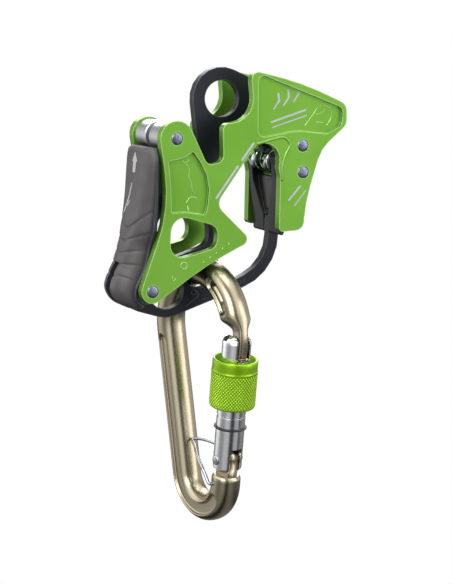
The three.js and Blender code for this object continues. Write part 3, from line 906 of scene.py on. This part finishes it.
def barrel():
    top, foot = BARREL_TOP, -FOOT_STATION
    groove_radius, groove_top, groove_foot = 5.95, -30.6, -31.65
    profile = [(0, top), (2.0, top - 0.06), (3.6, top - 0.3)]
    profile += [(4.9, top - 0.9), (5.7, top - 1.8), (6.1, top - 2.8), (BARREL_RADIUS, top - 3.6)]
    profile += [(BARREL_RADIUS, groove_top), (groove_radius, groove_top - 0.15)]
    profile += [(groove_radius, groove_foot + 0.15), (BARREL_RADIUS, groove_foot)]
    profile += [(BARREL_RADIUS, foot + 2), (5.9, foot + 1.2), (4.4, foot), (0, foot)]
    obj = raw_object("gate_barrel", *revolve(profile, 72), leg_frame)
    top_slot_half, foot_slot_half = 2.95, 2.9
    top_slot = block(-9, 9, -top_slot_half, top_slot_half, -VISIBLE_TONGUE_END - 0.5, 12)
    applied(obj, raw_object("top_tool", *top_slot, leg_frame), "DIFFERENCE")
    foot_slot = block(-9, 9, -foot_slot_half, foot_slot_half, -70, 5.7 - PIVOT_STATION)
    applied(obj, raw_object("foot_tool", *foot_slot, leg_frame), "DIFFERENCE")
    bore_radius, bore_top, bore_foot = 2.7, -21, 3.7 - PIVOT_STATION
    bore = revolve([(0, bore_top), (bore_radius, bore_top), (bore_radius, bore_foot), (0, bore_foot)], 32)
    applied(obj, raw_object("bore_tool", *bore, leg_frame), "DIFFERENCE")
    bevelled(obj, 0.22, 3, 40)
    settle(obj, BARREL, "polished_aluminium", "carabiner_gate", "carabiner_gate")


def pivot_rivet():
    shank, seat = 1.5, BARREL_RADIUS + 0.05
    half = [(shank, seat - 0.3), (shank, seat), (2.1, seat), (2.05, seat + 0.25)]
    half += [(1.6, seat + 0.5), (0.8, seat + 0.62), (0, seat + 0.65)]
    profile = [(r, -y) for r, y in reversed(half)] + half
    vertices, faces = revolve(profile, 40, "y")
    obj = raw_object("gate_pivot_rivet", moved(vertices, 0, 0, -PIVOT_STATION), faces, leg_frame)
    settle(obj, SPRING, "spring_steel", "carabiner", "carabiner_gate_pivot")


KNURL_STARTS, KNURL_PITCH, KNURL_DEPTH = 44, 0.62, 0.42


def knurl(angle, height):
    """Depth of the crossed helical grooves at a place on the sleeve."""
    depth = 0.0
    for turn_way in (-1, 1):
        phase = KNURL_STARTS * angle / (2 * math.pi) + turn_way * height * KNURL_PITCH
        gap = abs(phase - round(phase))
        depth = max(depth, 1 - smoothstep(0.0, 0.34, gap))
    return KNURL_DEPTH * depth


def screw_sleeve():
    """The knurled sleeve: a smooth band at the top, the knurl, a rounded foot and a stepped bore."""
    length = SLEEVE_BOTTOM - SLEEVE_TOP
    smooth_band, foot_round, bore = 5.0, 1.3, 6.5
    rings = []
    segments = 8 * KNURL_STARTS
    outside = [(SLEEVE_OUTER - 0.75, 0), (SLEEVE_OUTER - 0.35, 0.12), (SLEEVE_OUTER - 0.22, 0.45)]
    outside += [(SLEEVE_OUTER - 0.2, h) for h in (2.0, 4.0, smooth_band - 0.15)]
    steps = 66
    knurled = length - foot_round
    for k in range(steps + 1):
        outside.append((SLEEVE_OUTER - 0.05, smooth_band + (knurled - smooth_band) * k / steps))
    for k in range(1, 7):
        angle = math.pi / 2 * k / 6
        inset = foot_round * (1 - math.cos(angle))
        outside.append((SLEEVE_OUTER - 0.1 - inset, knurled + foot_round * math.sin(angle)))
    inside = [(bore, length), (bore, 6.5), (6.7, 6.2), (8.3, 6.0), (8.5, 5.8), (8.55, 0.3), (8.75, 0)]
    for radius, height in outside + inside:
        ring = []
        for k in range(segments):
            angle = 2 * math.pi * k / segments
            begun = smoothstep(smooth_band, smooth_band + 0.7, height)
            ended = smoothstep(knurled, knurled + 0.8, height)
            cut = knurl(angle, height) * begun * (1 - ended) if radius > 9 else 0.0
            r = radius - cut
            ring.append((r * math.cos(angle), r * math.sin(angle), -SLEEVE_TOP - height))
        rings.append(ring)
    obj = raw_object("knurled_sleeve", *join_rings(rings, loop=True), leg_frame)
    settle(obj, LIME, "lime_anodised", "sleeve", "screw_sleeve")


def stop_ring():
    centre = leg_frame.inverted() @ box_centre("sleeve_stop_ring")
    ring = [(x, y, centre.z) for x, y in ring_points(0, 0, BARREL_RADIUS + 0.42, 96)]
    obj = raw_object("snap_ring", *sweep(ring, 0.45, 12, True), leg_frame)
    settle(obj, DARK, "dark_anodised", "carabiner_gate", "sleeve_stop_ring")


def keeper_wire():
    offsets = [
        (0, -4.2, 0), (0, -6.4, 0), (-0.8, -7.1, 0.6), (-2.4, -7.2, 2.9), (-5.4, -7.2, 6.7),
        (-11.1, -5.6, 10.3), (-17.6, -2.4, 13.1), (-22.8, 0, 14.7), (-17.6, 2.4, 15.1), (-11.1, 5.6, 13.1),
        (-5.4, 7.2, 8.5), (-2.4, 7.2, 3.9), (-0.8, 7.1, 0.6), (0, 6.4, 0), (0, 4.2, 0),
    ]
    points = moved(offsets, WIRE_HOLE_X, 0, WIRE_HOLE_Z)
    obj = raw_object("captive_wire", *sweep(curve_through(points, 14), 0.7, 14), ring_frame)
    settle(obj, SPRING, "spring_steel", "keeper_wire", "keeper_wire")


# ---- studio ----
def camera():
    azimuth, elevation, distance, lens = math.radians(-24), math.radians(9.4), 0.750, 106.3
    target = datum @ Vector((41.385, 0.360, -5.521))
    level = math.cos(elevation)
    back = Vector((math.sin(azimuth) * level, -math.cos(azimuth) * level, math.sin(elevation)))
    data = bpy.data.cameras.new("camera")
    data.lens = lens
    data.clip_start = 0.01
    obj = bpy.data.objects.new("camera", data)
    bpy.context.scene.collection.objects.link(obj)
    obj.location = target + back * distance
    obj.rotation_euler = (-back).to_track_quat("-Z", "Y").to_euler()
    bpy.context.scene.camera = obj


def area_light(name, place, size, power, target=(0, 0, -0.09)):
    data = bpy.data.lights.new(name, "AREA")
    data.shape = "RECTANGLE"
    data.size, data.size_y = size
    data.energy = power
    obj = bpy.data.objects.new(name, data)
    bpy.context.scene.collection.objects.link(obj)
    obj.location = place
    obj.rotation_euler = (Vector(target) - Vector(place)).to_track_quat("-Z", "Y").to_euler()


# Brightness of the studio by direction: upward, and across from the left to the right.
UPWARD = [(0.0, 0.15), (0.34, 0.25), (0.47, 0.9), (0.60, 0.75), (0.75, 1.2), (1.0, 1.4)]
SIDEWAYS = [
    (0.0, 0.4), (0.10, 1.5), (0.26, 1.4), (0.33, 0.16), (0.50, 0.12), (0.60, 1.1), (0.78, 1.3), (0.86, 0.15),
    (1.0, 0.9),
]


def grey_ramp(tree, value, stops):
    """A grey that follows a direction's component, from -1 to 1."""
    spread = tree.nodes.new("ShaderNodeMapRange")
    spread.inputs["From Min"].default_value = -1
    ramp = tree.nodes.new("ShaderNodeValToRGB")
    tree.links.new(value, spread.inputs["Value"])
    tree.links.new(spread.outputs["Result"], ramp.inputs["Fac"])
    while len(ramp.color_ramp.elements) < len(stops):
        ramp.color_ramp.elements.new(0.5)
    for element, (position, grey) in zip(ramp.color_ramp.elements, stops):
        element.position = position
        element.color = (grey, grey, grey, 1)
    return ramp.outputs["Color"]


def world():
    """White behind the device, with soft bright and dark panels in its reflections."""
    studio_world = bpy.data.worlds.new("studio")
    bpy.context.scene.world = studio_world
    studio_world.use_nodes = True
    tree = studio_world.node_tree
    tree.nodes.clear()
    new, link = tree.nodes.new, tree.links.new
    coords, split = new("ShaderNodeTexCoord"), new("ShaderNodeSeparateXYZ")
    link(coords.outputs["Generated"], split.inputs[0])
    product = new("ShaderNodeVectorMath")
    product.operation = "MULTIPLY"
    link(grey_ramp(tree, split.outputs["Z"], UPWARD), product.inputs[0])
    link(grey_ramp(tree, split.outputs["X"], SIDEWAYS), product.inputs[1])
    panels, white = new("ShaderNodeBackground"), new("ShaderNodeBackground")
    link(product.outputs["Vector"], panels.inputs["Color"])
    panels.inputs["Strength"].default_value = 1.25
    white.inputs["Color"].default_value = (1, 1, 1, 1)
    mix, path, out = new("ShaderNodeMixShader"), new("ShaderNodeLightPath"), new("ShaderNodeOutputWorld")
    link(path.outputs["Is Camera Ray"], mix.inputs["Fac"])
    link(panels.outputs[0], mix.inputs[1])
    link(white.outputs[0], mix.inputs[2])
    link(mix.outputs[0], out.inputs["Surface"])


def studio():
    camera()
    world()
    area_light("key_left", (-0.9, -0.9, 0.7), (0.9, 0.9), 10)
    area_light("fill_right", (1.0, -0.8, 0.2), (0.5, 1.2), 6)
    area_light("top", (0.1, 0.1, 1.1), (0.8, 0.8), 8)
    area_light("rim_back", (0.4, 1.0, 0.5), (1.0, 0.6), 5)
    bpy.context.scene.view_settings.view_transform = "Standard"


# ---- assembly ----
kept_nodes()
for rivet_node in ("roller_axle_rivet", "lever_pivot_rivet", "handle_rivet_upper", "handle_rivet_lower"):
    rivet(rivet_node)
roller("front_rope_roller", -1)
roller("rear_rope_roller", 1)
bush("gate_bush_front", -1)
bush("gate_bush_rear", 1)
lever_grip()
grip_marks()
printed_bars()
plate_reliefs()
hinge_ridges()
carabiner_frame()
nose_band()
barrel()
pivot_rivet()
screw_sleeve()
stop_ring()
keeper_wire()
studio()
